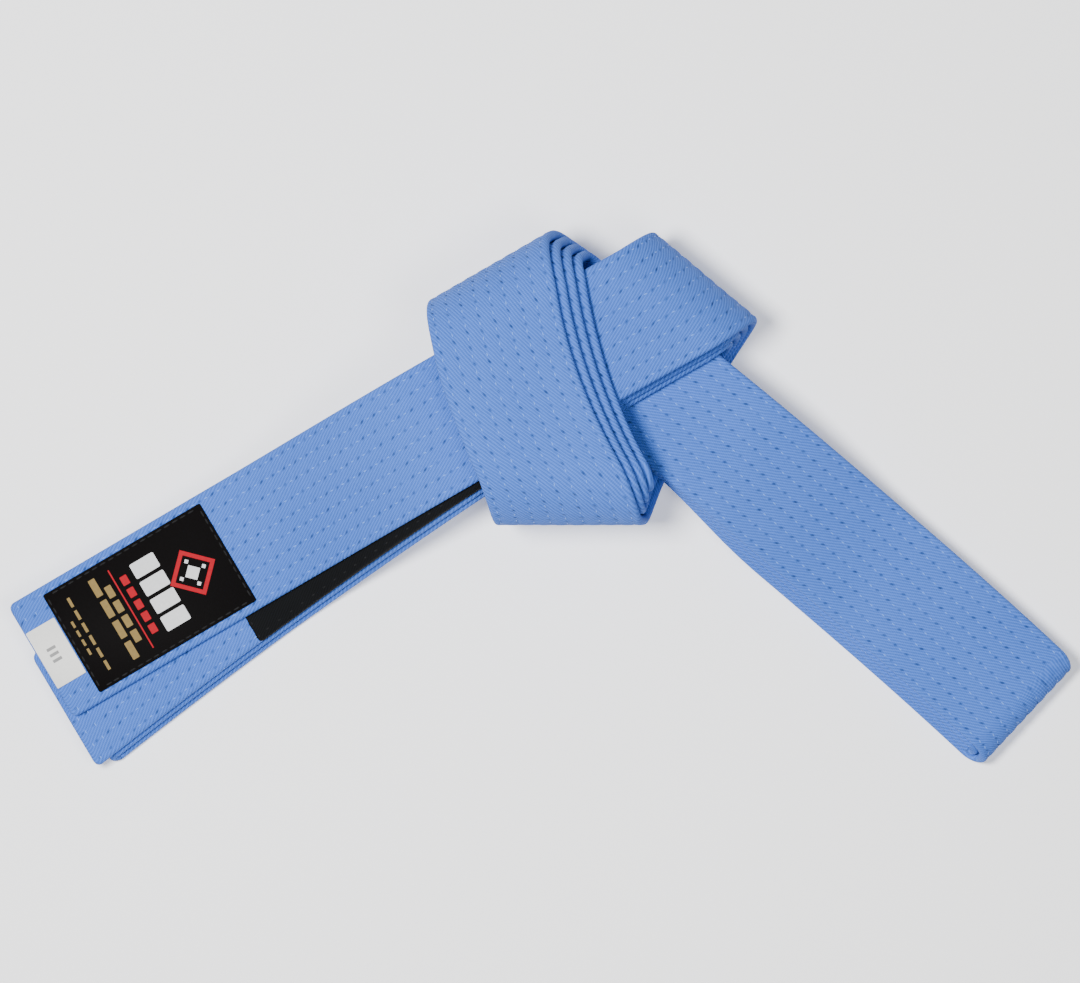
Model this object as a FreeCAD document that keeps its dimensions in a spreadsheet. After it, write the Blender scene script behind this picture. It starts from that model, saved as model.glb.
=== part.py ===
"""A quilted martial arts belt, folded in half twice and tied in one flat overhand knot.

Millimetres, +Z up.  The origin is on the table, under the middle of the strand that
crosses the underside of the knot.  The folded belt is four passes of one strap:
  pass 1 carries the label, pass 2 the black rank sleeve, passes 3 and 4 come back
  from the fold at the middle of the belt.
The passes lie on each other like pages.  From the left end they run up the left arm,
round the right fold, across the underside, round the lower fold, up the front wrap,
round the upper fold and out along the right arm, where 1 joins 4 and 2 joins 3.
"""
import FreeCAD, Part
import math
import os
from FreeCAD import Vector

doc = FreeCAD.newDocument("belt")
sheet = doc.addObject("Spreadsheet::Sheet", "Sizes")

SIZES = [
    ("belt_width", 45.0),
    ("belt_thickness", 3.5),
    ("pass_pitch", 3.85),
    ("cover_cloth", 0.6),
    ("strand_gap", 0.5),
    ("joint_gap", 0.4),
    ("arm_hinge", 80.0),
    ("rank_hinge", 92.0),
    ("label_hinge", 104.0),
    ("tail_hinge", 78.0),
    ("left_ramp_end", 162.0),
    ("right_ramp_end", 150.0),
    ("sleeve_thickness", 0.5),
    ("sleeve_outer", 176.0),
    ("sleeve_inner", 70.0),
    ("label_length", 63.0),
    ("label_width", 39.0),
    ("label_thickness", 0.6),
    ("label_from_end", 12.3),
    ("tag_length", 11.4),
    ("tag_width", 22.0),
    ("tag_thickness", 0.3),
    ("tag_clearance", 0.3),
    ("tag_from_end", 0.5),
    ("row_count", 9),
    ("row_spacing", 5.0),
    ("thread_width", 0.6),
    ("thread_height", 0.12),
    ("end_margin", 3.0),
    ("rank_end_beyond", 2.0),
]
for row, (alias, value) in enumerate(SIZES, start=1):
    sheet.set(f"A{row}", alias)
    sheet.set(f"B{row}", str(value))
    sheet.setAlias(f"B{row}", alias)
doc.recompute()


def size(alias):
    return float(sheet.get(alias))


WIDTH = size("belt_width")
THICK = size("belt_thickness")
PITCH = size("pass_pitch")
STACK = 4 * PITCH
PASSES = (1, 2, 3, 4)

# Height of the middle of each four-pass strand inside the knot.
BACK_Z = THICK / 2 + 1.5 * PITCH
TAIL_Z = BACK_Z + STACK + size("strand_gap")
ARM_Z = TAIL_Z + STACK + size("strand_gap")
WRAP_Z = ARM_Z + STACK + size("strand_gap")

# Plan points and headings (degrees anticlockwise from +X) of pass 1.
LEFT_END = (-209.9, -95.7)
LEFT_HEADING = 30.5
ARM_HEADING = 29.0
WRAP_START_HEADING = 117.0
WRAP_END_HEADING = 101.0
TAIL_HEADING = -38.5
RIGHT_END = (127.8, -107.8)
RIGHT_HEADING = -43.0

# Sideways step of the passes, measured towards the belt's own right-hand side.
ARM_FAN_AT_END = 18.6
ARM_FAN_POWER = 1.8
ARM_FAN_STEPS = {1: 0.0, 2: 0.0, 3: 1.5, 4: 3.0}
TAIL_FAN_INNER = 0.2
TAIL_FAN_OUTER = 1.6


def plan(angle):
    """Unit vector in the table's plane."""
    return Vector(math.cos(math.radians(angle)), math.sin(math.radians(angle)), 0)


def cotangent(heading, ruling):
    return 1 / math.tan(math.radians(heading - ruling))


def hermite(a, slope_a, b, slope_b, u):
    """Cubic from a to b; the slopes are per unit of u."""
    return (
        a * (2 * u**3 - 3 * u**2 + 1)
        + slope_a * (u**3 - 2 * u**2 + u)
        + b * (3 * u**2 - 2 * u**3)
        + slope_b * (u**3 - u**2)
    )


class Fold:
    """Where a strand rolls over: two quarter turns with a short upright between them."""

    def __init__(self, middle, ruling, z_in, z_out, upright, enters, leaves, fan_in, fan_out, trim=0.0):
        self.ruling = ruling
        self.along = plan(ruling)
        self.side = math.copysign(1, z_in - z_out)
        self.outward = plan(ruling + 90)
        if Vector(*middle, 0).dot(self.outward) < 0:
            self.outward = self.outward * -1
        self.upright = upright
        self.centre_z = (z_in + z_out) / 2
        self.corner = abs(z_in - z_out) / 2 - upright / 2 - STACK / 2
        self.axis = Vector(*middle, 0) - self.outward * (self.corner + STACK)
        self.enters = enters
        self.leaves = leaves
        self.fan_in = fan_in
        self.fan_out = fan_out
        self.trim = trim

    def radius(self, number):
        return self.corner + (4.5 - number) * PITCH

    def length(self, number):
        return math.pi * self.radius(number) + self.upright

    def entry(self, number):
        return self.enters + self.fan_in[number]

    def exit(self, number):
        return self.leaves + self.fan_out[number]

    def entry_point(self, number):
        return self.axis + self.along * self.entry(number)

    def exit_point(self, number):
        return self.axis + self.along * self.exit(number)

    def place(self, number, walked):
        """Distance outward, height and outer-face direction at a walked distance."""
        radius = self.radius(number)
        quarter = math.pi / 2 * radius
        half = self.upright / 2
        if walked <= quarter:
            turn = walked / radius
            lift = half
        elif walked < quarter + self.upright:
            turn = math.pi / 2
            lift = half - (walked - quarter)
        else:
            turn = (walked - self.upright) / radius
            lift = -half
        out = radius * math.sin(turn)
        height = self.centre_z + self.side * (lift + radius * math.cos(turn))
        face = self.outward * math.sin(turn) + Vector(0, 0, self.side * math.cos(turn))
        return out, height, face

    def steps(self, number, count=6):
        quarter = math.pi / 2 * self.radius(number)
        first = [quarter * i / count for i in range(count + 1)]
        return first + [quarter + self.upright + s for s in first]

    def stations(self, number, slope_in, slope_out, half_in, half_out):
        total = self.length(number)
        found = []
        for walked in self.steps(number):
            u = walked / total
            out, height, face = self.place(number, walked)
            along = hermite(self.entry(number), slope_in * total, self.exit(number), slope_out * total, u)
            middle = self.axis + self.along * along + self.outward * out
            middle.z = height
            crushed = self.trim * (number - 1) / 2
            half = half_in + (half_out - half_in) * u - crushed
            found.append(Station(middle + self.along * crushed, self.along, face, half))
        return found


class Station:
    """One straight line across the strap: its middle, direction, face normal and half length."""

    def __init__(self, middle, across, face, half, thick=THICK):
        self.middle = middle
        self.across = across
        self.face = face
        self.half = half
        self.thick = thick

    def corners(self, left_share, right_share, low, high):
        """Four corners; the shares run from -1 at the left edge to 1 at the right edge."""
        left = self.middle + self.across * (self.half * left_share)
        right = self.middle + self.across * (self.half * right_share)
        bottom = self.face * low
        top = self.face * high
        return [left + bottom, right + bottom, right + top, left + top]


def fans(step):
    return {number: step * (number - 1) for number in PASSES}


# The lower fold's inner passes are crushed in at the left, where the left arm passes.
RIGHT_FOLD = Fold((19.8, 38.2), -40.0, ARM_Z, BACK_Z, 5.0, -6.6, 4.5, ARM_FAN_STEPS, fans(-1.1))
LOWER_FOLD = Fold((-22.6, -48.5), 0.0, BACK_Z, WRAP_Z, 20.0, 6.0, -12.8, fans(-3.0), fans(3.2), 1.6)
UPPER_FOLD = Fold((-52.3, 42.2), 30.0, WRAP_Z, TAIL_Z, 7.0, -11.4, 7.8, fans(3.7), fans(TAIL_FAN_INNER))


def half_line(heading, ruling):
    return WIDTH / 2 / abs(math.sin(math.radians(heading - ruling)))


def ease(u):
    u = min(max(u, 0.0), 1.0)
    return (1 - math.cos(math.pi * u)) / 2


def curve_point(start, heading_a, end, heading_b, u):
    reach = (end - start).Length
    return hermite(start, plan(heading_a) * reach, end, plan(heading_b) * reach, u)


def wrap_run(number, count=6):
    """The level front wrap between the lower and the upper fold."""
    start, end = LOWER_FOLD.exit_point(number), UPPER_FOLD.entry_point(number)
    found = []
    for i in range(count + 1):
        u = i / count
        middle = curve_point(start, WRAP_START_HEADING, end, WRAP_END_HEADING, u)
        middle.z = WRAP_Z + (2.5 - number) * PITCH
        ruling = LOWER_FOLD.ruling + (UPPER_FOLD.ruling - LOWER_FOLD.ruling) * u
        heading = WRAP_START_HEADING + (WRAP_END_HEADING - WRAP_START_HEADING) * u
        crushed = LOWER_FOLD.trim * (number - 1) / 2 * (1 - u)
        across = plan(ruling)
        half = half_line(heading, ruling) - crushed
        found.append(Station(middle + across * crushed, across, Vector(0, 0, 1), half))
    return found


class Arm:
    """A strand that leaves the knot: distance is measured out from its fold."""

    def __init__(self, inner, inner_heading, inner_ruling, outer, outer_heading, up, level, ramp, turn):
        self.inner = inner
        self.outer = outer
        self.inner_heading = inner_heading
        self.outer_heading = outer_heading
        self.inner_ruling = inner_ruling
        self.up = up
        self.level = level
        self.ramp = ramp
        self.turn = turn
        self.length = (outer - inner).Length

    def heading(self, distance):
        share = distance / self.length
        return self.inner_heading + (self.outer_heading - self.inner_heading) * share

    def base(self, distance):
        share = distance / self.length
        return curve_point(self.inner, self.inner_heading, self.outer, self.outer_heading, share)

    def height(self, distance):
        share = (distance - self.ramp[0]) / (self.ramp[1] - self.ramp[0])
        return self.level + (BACK_Z - self.level) * ease(share)

    def spot(self, distance):
        point = self.base(distance)
        point.z = self.height(distance)
        return point

    def across(self, distance):
        square = self.heading(distance) + self.turn
        share = ease(distance / 45.0)
        return plan(self.inner_ruling + (square - self.inner_ruling) * share)

    def station(self, number, distance, fan):
        ahead = self.spot(distance + 0.05) - self.spot(distance - 0.05)
        across = self.across(distance)
        face = ahead.cross(across).normalize()
        if face.z * self.up < 0:
            face = face * -1
        square = abs(math.sin(math.radians(self.heading(distance)) - math.atan2(across.y, across.x)))
        middle = self.spot(distance) + face * ((2.5 - number) * PITCH) + across * (fan / square)
        return Station(middle, across, face, WIDTH / 2 / square)


# The arm's curve is drawn outward, so its headings are turned about.
LEFT_ARM = Arm(
    inner=RIGHT_FOLD.entry_point(1),
    inner_heading=ARM_HEADING + 180,
    inner_ruling=RIGHT_FOLD.ruling,
    outer=Vector(*LEFT_END, 0),
    outer_heading=LEFT_HEADING + 180,
    up=1,
    level=ARM_Z,
    ramp=(size("arm_hinge") - 6, size("left_ramp_end")),
    turn=-270,
)
RIGHT_ARM = Arm(
    inner=UPPER_FOLD.exit_point(4),
    inner_heading=TAIL_HEADING,
    inner_ruling=UPPER_FOLD.ruling,
    outer=Vector(*RIGHT_END, 0),
    outer_heading=RIGHT_HEADING,
    up=-1,
    level=TAIL_Z,
    ramp=(size("tail_hinge") - 4, size("right_ramp_end")),
    turn=90,
)


def left_fan(number, distance):
    spread = ARM_FAN_AT_END * (distance / LEFT_ARM.length) ** ARM_FAN_POWER if number > 1 else 0.0
    return spread + ARM_FAN_STEPS[number]


def right_fan(number, distance):
    step = TAIL_FAN_INNER + (TAIL_FAN_OUTER - TAIL_FAN_INNER) * ease((distance - 60) / 60)
    return step * (number - 4)


def stops(start, end, marks=(), step=6.0):
    """The ends, and between them the marks and the whole steps that every pass shares."""
    low, high = min(start, end), max(start, end)
    shared = [step * i for i in range(int(high / step) + 1)] + list(marks)
    between = {d for d in shared if low + 0.5 < d < high - 0.5}
    return sorted(between | {start, end}, reverse=start > end)


def under_sleeve(number, distance):
    return number == 2 and size("sleeve_inner") < distance < size("sleeve_outer")


def left_run(number, start, end):
    """Stations of one pass on the left arm; the rank pass is squeezed inside its sleeve."""
    marks = []
    if number == 2:
        for edge in (size("sleeve_inner"), size("sleeve_outer")):
            marks += [edge - 0.05, edge + 0.05]
    found = []
    for distance in stops(start, end, marks):
        station = LEFT_ARM.station(number, distance, left_fan(number, distance))
        if under_sleeve(number, distance):
            station.thick = THICK - 2 * size("sleeve_thickness")
        found.append(station)
    return found


def right_run(number, start, end):
    return [RIGHT_ARM.station(number, d, right_fan(number, d)) for d in stops(start, end)]


BACK_HEADING = math.degrees(
    math.atan2(*reversed((LOWER_FOLD.entry_point(1) - RIGHT_FOLD.exit_point(1))[0:2]))
)


def knot_run(number):
    """One pass from the left arm's hinge, through the knot, to the right arm's hinge."""
    gap = size("joint_gap") / 2
    found = left_run(number, size("arm_hinge") - gap, 0)[:-1]
    found += RIGHT_FOLD.stations(
        number,
        cotangent(ARM_HEADING, RIGHT_FOLD.ruling),
        cotangent(RIGHT_FOLD.ruling, BACK_HEADING),
        half_line(ARM_HEADING, RIGHT_FOLD.ruling),
        half_line(BACK_HEADING, RIGHT_FOLD.ruling),
    )
    found += LOWER_FOLD.stations(
        number,
        cotangent(LOWER_FOLD.ruling, BACK_HEADING),
        cotangent(WRAP_START_HEADING, LOWER_FOLD.ruling),
        half_line(BACK_HEADING, LOWER_FOLD.ruling),
        half_line(WRAP_START_HEADING, LOWER_FOLD.ruling),
    )
    found += wrap_run(number)[1:-1]
    found += UPPER_FOLD.stations(
        number,
        cotangent(WRAP_END_HEADING, UPPER_FOLD.ruling),
        cotangent(UPPER_FOLD.ruling, TAIL_HEADING),
        half_line(WRAP_END_HEADING, UPPER_FOLD.ruling),
        half_line(TAIL_HEADING, UPPER_FOLD.ruling),
    )
    found += right_run(number, 0, size("tail_hinge") - gap)[1:]
    return found


def flat_or_ruled(a, b, c, d):
    """Face on four corners in order: a plane if they share one, else straight rulings."""
    normal = (b - a).cross(d - a)
    if abs((c - a).dot(normal)) < 1e-6 * normal.Length:
        return Part.Face(Part.makePolygon([a, b, c, d, a]))
    return Part.makeRuledSurface(Part.LineSegment(a, b).toShape(), Part.LineSegment(d, c).toShape())


def skin(sections):
    """Closed solid through a list of four-cornered sections."""
    faces = [Part.Face(Part.makePolygon(s + [s[0]])) for s in (sections[0], sections[-1])]
    for near, far in zip(sections, sections[1:]):
        for i in range(4):
            j = (i + 1) % 4
            faces.append(flat_or_ruled(near[i], near[j], far[j], far[i]))
    shell = Part.Compound(faces)
    shell.sewShape(1e-4)
    solid = Part.Solid(shell.Shells[0] if shell.Shells else Part.Shell(shell.Faces))
    if solid.Volume < 0:
        solid.reverse()
    solid.fix(1e-5, 1e-5, 1e-4)
    return solid


def inset(stations, distance):
    """The same strap with both ends moved in."""
    trimmed = list(stations)
    for end, neighbour in ((0, 1), (-1, -2)):
        a, b = stations[end], stations[neighbour]
        share = distance / (b.middle - a.middle).Length
        middle = a.middle + (b.middle - a.middle) * share
        face = (a.face + (b.face - a.face) * share).normalize()
        half = a.half + (b.half - a.half) * share
        trimmed[end] = Station(middle, a.across, face, half, a.thick)
    return trimmed


def strap(stations, shrink=0.0):
    """Solid of the strap, made smaller all round by the shrink."""
    share = 1 - 2 * shrink / WIDTH
    return skin([s.corners(-share, share, shrink - s.thick / 2, s.thick / 2 - shrink) for s in stations])


def hollow(outer, inner):
    """The outer solid with the inner one as a closed space inside it."""
    space = inner.Shells[0].copy()
    space.reverse()
    return Part.makeSolid(Part.Compound([outer.Shells[0], space]))


NODES = {}


def add(name, shape):
    feature = doc.addObject("Part::Feature", name)
    feature.Label = name
    feature.Shape = shape
    NODES[name] = feature
    return feature


def add_strap(name, stations):
    """Core of wadding and canvas, and the twill cover sewn round it."""
    cloth = size("cover_cloth")
    inner = strap(inset(stations, cloth), cloth)
    add(f"{name}_core", inner)
    add(f"{name}_cover", hollow(strap(stations), inner))


def faced_out(stations):
    """The same stations with the other face named as the outer one."""
    return [Station(s.middle, s.across, s.face * -1, s.half, s.thick) for s in stations]


def half_turn(start, end, forward, count=8):
    """Stations of the loop that joins two passes, without its first and last."""
    radius = (start.middle - end.middle).dot(start.face) / 2
    slide = (end.middle - start.middle) + start.face * (2 * radius)
    centre = start.middle - start.face * radius
    found = []
    for i in range(1, count):
        turn = math.pi * i / count
        face = start.face * math.cos(turn) + forward * math.sin(turn)
        middle = centre + face * radius + slide * (i / count)
        half = start.half + (end.half - start.half) * i / count
        found.append(Station(middle, start.across, face, half))
    return found


def loop(outward, homeward):
    """A pass out to the end of the arm, round, and back along another pass."""
    last = outward[-1]
    ahead = last.middle - outward[-2].middle
    forward = ahead - last.across * ahead.dot(last.across) - last.face * ahead.dot(last.face)
    return outward + half_turn(last, homeward[0], forward.normalize()) + homeward


def thread_strip(stations, side_offset, face_side=1):
    """One flat row of thread lying on a face of the strap."""
    share = 2 * side_offset / WIDTH
    half = size("thread_width") / WIDTH
    sections = []
    for s in stations:
        low = face_side * s.thick / 2
        high = low + face_side * size("thread_height")
        sections.append(s.corners(share - half, share + half, low, high))
    return skin(sections)


def row_offsets():
    count = int(size("row_count"))
    return [(i - (count - 1) / 2) * size("row_spacing") for i in range(count)]


def add_rows(name, stations, face_side=1):
    rows = [thread_strip(stations, offset, face_side) for offset in row_offsets()]
    add(name, Part.Compound(rows))


def cross_strip(station, ahead, share=0.93):
    """One row of thread across the strap, on its outer face."""
    half = size("thread_width") / 2
    low = station.thick / 2
    near = station.middle - ahead * half
    far = station.middle + ahead * half
    sections = []
    for middle in (near, far):
        sections.append(Station(middle, station.across, station.face, station.half, station.thick)
                        .corners(-share, share, low, low + size("thread_height")))
    return skin(sections)


GAP = size("joint_gap") / 2
ARM_HINGE = size("arm_hinge")
RANK_HINGE = size("rank_hinge")
LABEL_HINGE = size("label_hinge")
TAIL_HINGE = size("tail_hinge")
LEFT_LENGTH = LEFT_ARM.length
RANK_LENGTH = LEFT_LENGTH + size("rank_end_beyond")
RIGHT_LENGTH = RIGHT_ARM.length
TOP = BACK_Z + 1.5 * PITCH + THICK / 2


def make_knot():
    names = {1: "knot_label_pass", 2: "knot_rank_pass", 3: "knot_bight_pass", 4: "knot_inner_pass"}
    for number, name in names.items():
        add_strap(name, knot_run(number))
    add_rows("knot_arm_quilting", left_run(1, ARM_HINGE - GAP, 1.0))
    add_rows("front_wrap_quilting", wrap_run(1))


def make_left_arm():
    bight_reach = LEFT_LENGTH - 3.0 - PITCH / 2 - THICK / 2
    outward = faced_out(left_run(4, ARM_HINGE + GAP, bight_reach))
    homeward = left_run(3, bight_reach, ARM_HINGE + GAP)
    add_strap("left_bight", loop(outward, homeward))
    add_strap("rank_pass_first", left_run(2, ARM_HINGE + GAP, RANK_HINGE - GAP))
    add_strap("rank_end", left_run(2, RANK_HINGE + GAP, RANK_LENGTH))
    add_strap("label_pass_first", left_run(1, ARM_HINGE + GAP, RANK_HINGE - GAP))
    add_strap("label_pass_second", left_run(1, RANK_HINGE + GAP, LABEL_HINGE - GAP))
    add_strap("label_end", left_run(1, LABEL_HINGE + GAP, LEFT_LENGTH))


def make_right_arm():
    outer = loop(
        right_run(1, TAIL_HINGE + GAP, RIGHT_LENGTH),
        faced_out(right_run(4, RIGHT_LENGTH, TAIL_HINGE + GAP)),
    )
    inner = loop(
        right_run(2, TAIL_HINGE + GAP, RIGHT_LENGTH),
        faced_out(right_run(3, RIGHT_LENGTH, TAIL_HINGE + GAP)),
    )
    add_strap("right_outer_loop", outer)
    add_strap("right_inner_loop", inner)
    add_rows("right_tail_quilting", faced_out(right_run(4, RIGHT_LENGTH, TAIL_HINGE + GAP)))


def sleeve_piece(name, start, end):
    """Black sleeve round the squeezed rank pass."""
    stations = left_run(2, start, end)
    wide = 1 + 2 * size("sleeve_thickness") / WIDTH
    outer = skin([s.corners(-wide, wide, -THICK / 2, THICK / 2) for s in stations])
    direction = (stations[-1].middle - stations[-2].middle).normalize()
    first = (stations[0].middle - stations[1].middle).normalize()
    longer = list(stations)
    for index, way in ((0, first), (-1, direction)):
        s = stations[index]
        longer[index] = Station(s.middle + way * 2.0, s.across, s.face, s.half, s.thick)
    add(name, outer.cut(strap(longer)))


def make_sleeve():
    sleeve_piece("rank_sleeve_in_knot", size("sleeve_inner") + 0.1, ARM_HINGE - GAP)
    sleeve_piece("rank_sleeve_first", ARM_HINGE + GAP, RANK_HINGE - GAP)
    sleeve_piece("rank_sleeve", RANK_HINGE + GAP, size("sleeve_outer") - 0.1)
    seam = size("sleeve_outer") - 1.5
    ahead = LEFT_ARM.spot(seam) - LEFT_ARM.spot(seam - 0.5)
    station = LEFT_ARM.station(2, seam, left_fan(2, seam))
    add("rank_sleeve_stitching", cross_strip(station, ahead.normalize()))


def make_end_stitching():
    """Two rows of stitches across each free end of the belt."""
    for name, number, length in (("label_end", 1, LEFT_LENGTH), ("rank_end", 2, RANK_LENGTH)):
        rows = []
        for inward in (size("end_margin"), size("end_margin") + 4.0):
            station = LEFT_ARM.station(number, length - inward, left_fan(number, length - inward))
            ahead = LEFT_ARM.spot(length) - LEFT_ARM.spot(length - 1)
            rows.append(cross_strip(station, ahead.normalize()))
        add(f"{name}_stitching", Part.Compound(rows))


def make_quilting():
    """Rows of thread on the two free ends; the label covers the middle rows of its end."""
    label_inner = LEFT_LENGTH - size("label_from_end") - size("label_length") - 0.4
    end_row = size("end_margin") + 4.6
    rows = []
    for offset in row_offsets():
        covered = abs(offset) < size("label_width") / 2 + size("thread_width")
        reach = label_inner if covered else LEFT_LENGTH - end_row
        rows.append(thread_strip(left_run(1, LABEL_HINGE + GAP, reach), offset))
    add("label_end_quilting", Part.Compound(rows))
    add_rows("rank_end_quilting", left_run(2, size("sleeve_outer") + 0.4, RANK_LENGTH - end_row))


def on_label_end(from_end):
    """Placement on top of the label end: local +X towards the end, +Y across the belt."""
    spot = LEFT_ARM.spot(LEFT_LENGTH - from_end)
    rotation = FreeCAD.Rotation(Vector(0, 0, 1), LEFT_HEADING + 180)
    return FreeCAD.Placement(Vector(spot.x, spot.y, TOP), rotation)


def placed_box(name, kind, lift):
    """A flat rectangle on the label end, its outer edge at a distance from the belt's end."""
    box = doc.addObject("Part::Box", name)
    box.Label = name
    box.setExpression("Length", f"Sizes.{kind}_length")
    box.setExpression("Width", f"Sizes.{kind}_width")
    box.setExpression("Height", f"Sizes.{kind}_thickness")
    inner_edge = on_label_end(size(f"{kind}_from_end") + size(f"{kind}_length"))
    shift = FreeCAD.Placement(Vector(0, -size(f"{kind}_width") / 2, lift), FreeCAD.Rotation())
    box.Placement = inner_edge.multiply(shift)
    NODES[name] = box
    return box


def make_label():
    placed_box("woven_label", "label", 0)
    placed_box("size_tag", "tag", size("tag_clearance"))


def make_label_stitching():
    """Short black stitches round the label, 1.2 mm inside its edge."""
    frame = on_label_end(size("label_from_end") + size("label_length"))
    long_half = size("label_length") / 2 - 1.2
    wide_half = size("label_width") / 2 - 1.2
    stitch = 2.6
    pitch = 4.0
    dashes = []
    for side, reach, square in ((wide_half, long_half, False), (long_half, wide_half, True)):
        count = int(2 * reach / pitch)
        for sign in (-1, 1):
            for i in range(count):
                run = (i - (count - 1) / 2) * pitch
                dash = Part.makeBox(stitch, size("thread_width"), size("thread_height"))
                dash.translate(Vector(-stitch / 2, -size("thread_width") / 2, 0))
                if square:
                    dash.rotate(Vector(), Vector(0, 0, 1), 90)
                    dash.translate(Vector(sign * side, run, 0))
                else:
                    dash.translate(Vector(run, sign * side, 0))
                dash.translate(Vector(size("label_length") / 2, 0, size("label_thickness")))
                dash.Placement = frame.multiply(dash.Placement)
                dashes.append(dash)
    add("woven_label_stitching", Part.Compound(dashes))


make_knot()
make_left_arm()
make_right_arm()
make_sleeve()
make_end_stitching()
make_quilting()
make_label()
make_label_stitching()

doc.recompute()
for item in doc.Objects:
    if "Invalid" in item.State or "Error" in item.State:
        raise RuntimeError(f"{item.Name} is {item.State}")
for name, feature in NODES.items():
    if feature.Shape.isNull() or not feature.Shape.isValid():
        raise RuntimeError(f"{name} has no valid shape")

os.makedirs("parts", exist_ok=True)
for name, feature in NODES.items():
    feature.Shape.exportStep(f"parts/{name}.step")
    print(name, round(feature.Shape.Volume, 1), len(feature.Shape.Solids), "solids")
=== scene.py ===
"""Looks of a quilted martial arts belt, folded in half twice and tied in one overhand knot.

Each strap is a closed quilted ribbon built along the same strand path as the frame.
Sizes are millimetres until a mesh is made; the scene is in metres.
"""
import math

import bpy
import numpy as np
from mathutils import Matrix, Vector


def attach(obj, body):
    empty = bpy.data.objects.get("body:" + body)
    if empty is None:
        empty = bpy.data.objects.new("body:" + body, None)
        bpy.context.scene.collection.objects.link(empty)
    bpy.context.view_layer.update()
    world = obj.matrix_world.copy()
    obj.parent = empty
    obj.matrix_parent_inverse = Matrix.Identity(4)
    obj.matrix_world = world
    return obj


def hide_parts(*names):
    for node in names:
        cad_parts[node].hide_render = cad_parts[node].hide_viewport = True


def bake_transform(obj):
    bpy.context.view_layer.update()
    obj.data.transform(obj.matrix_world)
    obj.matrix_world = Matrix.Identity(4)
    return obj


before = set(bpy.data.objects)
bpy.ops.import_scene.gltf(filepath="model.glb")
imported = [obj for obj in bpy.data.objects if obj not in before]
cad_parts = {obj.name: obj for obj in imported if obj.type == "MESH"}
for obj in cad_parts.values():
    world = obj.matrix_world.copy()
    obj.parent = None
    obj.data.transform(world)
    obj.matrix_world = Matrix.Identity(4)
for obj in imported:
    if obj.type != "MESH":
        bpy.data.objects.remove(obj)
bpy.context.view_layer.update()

MM = 0.001

# ---------------------------------------- driving dimensions
WIDTH = 45.0
THICK = 3.5
PITCH = 3.85                       # from one pass of a strand to the next
STACK = 4 * PITCH
STRAND_GAP = 0.5

# Distances along an arm, measured out from its fold.
ARM_HINGE = 80.0
RANK_HINGE = 92.0
LABEL_HINGE = 104.0
TAIL_HINGE = 78.0
LEFT_RAMP = (ARM_HINGE - 6, 162.0)
RIGHT_RAMP = (TAIL_HINGE - 4, 150.0)
SPLIT_LEFT = 50.0                  # where the knot's pieces meet the arms', under the wrap
SPLIT_RIGHT = 20.0
FIRST_JOIN = 86.0                  # between these two marks a strap follows one body whole,
SECOND_JOIN = 98.0                 # so its pieces meet there
BEND_REACH = 4.0                   # how far a bend spreads to each side of its hinge
SQUARING = 45.0                    # where the strap lies square again after its fold
SLEEVE = (70.0, 176.0)
SLEEVE_WALL = 0.5

FINE = 1.25                        # spacing of the stations along a strap
MEDIUM = 1.8
COARSE = 2.5
CORNER = 2.4                       # radius of the corners of the two free ends

EDGE_ROLL = 1.5                    # how far in from an edge the cloth is rolled
TIP_ROLL = 1.4                     # the same at a free end
QUILTED = 0.30                     # how deep the stitches pull a row in
VALLEY_REACH = 0.95                # and how far to each side
WADDING_SWELL = 0.10

ROW_SPACING = 5.0
ROWS = range(-4, 5)
STITCH_PITCH = 5.1
STITCH_INSET = 0.18                # how far a stitch lies under the strap's nominal face
ROW_LAG = 0.38                     # each row's stitches start later, by this share of a stitch,
ROW_SWAY = 0.17                    # and a little unevenly
ROW_SWAY_RATE = 2.1
ROWS_FROM_END = 8.5                # the lengthwise rows stop short of the cross stitching
TWILL_LEAN = math.radians(30)      # the wales' lean from the strap's length

LABEL_SIZE = (63.0, 39.0)
LABEL_FROM_END = 12.3
LABEL_TOP = 0.62                   # above the strap
LABEL_SEAM = 1.1                   # from the label's edge to its stitches
LABEL_STITCH_PITCH = 3.2
TAG_SIZE = (11.4, 22.0)
TAG_FROM_END = 0.5
TAG_TOP = 0.6

# Middle heights of the strands, from the back strand up to the front wrap.
BACK_Z = THICK / 2 + 1.5 * PITCH
TAIL_Z = BACK_Z + STACK + STRAND_GAP
ARM_Z = TAIL_Z + STACK + STRAND_GAP
WRAP_Z = ARM_Z + STACK + STRAND_GAP
TOP = BACK_Z + 1.5 * PITCH + THICK / 2

# Seen from above: the arms' far ends, and headings in degrees from +X.
LEFT_END = (-209.9, -95.7)
LEFT_HEADING = 30.5
ARM_HEADING = 29.0
RIGHT_END = (127.8, -107.8)
RIGHT_HEADING = -43.0
TAIL_HEADING = -38.5
WRAP_START_HEADING = 117.0
WRAP_END_HEADING = 101.0

# How far the passes are fanned out sideways from each other.
ARM_FAN_AT_END = 18.6
ARM_FAN_POWER = 1.8
ARM_FAN_STEPS = {1: 0.0, 2: 0.0, 3: 1.5, 4: 3.0}
TAIL_FAN = (0.2, 1.6)              # from pass to pass, before and after the stretch below
TAIL_FAN_GROWS = (60.0, 120.0)
UP = np.array([0.0, 0.0, 1.0])


# ---------------------------------------- strand paths
def plan(degrees):
    angle = math.radians(degrees)
    return np.array([math.cos(angle), math.sin(angle), 0.0])


def flat(point):
    return np.array([point[0], point[1], 0.0])


def unit(vector):
    return vector / np.linalg.norm(vector)


def cotangent(heading, ruling):
    return 1 / math.tan(math.radians(heading - ruling))


def half_line(heading, ruling):
    return WIDTH / 2 / abs(math.sin(math.radians(heading - ruling)))


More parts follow.
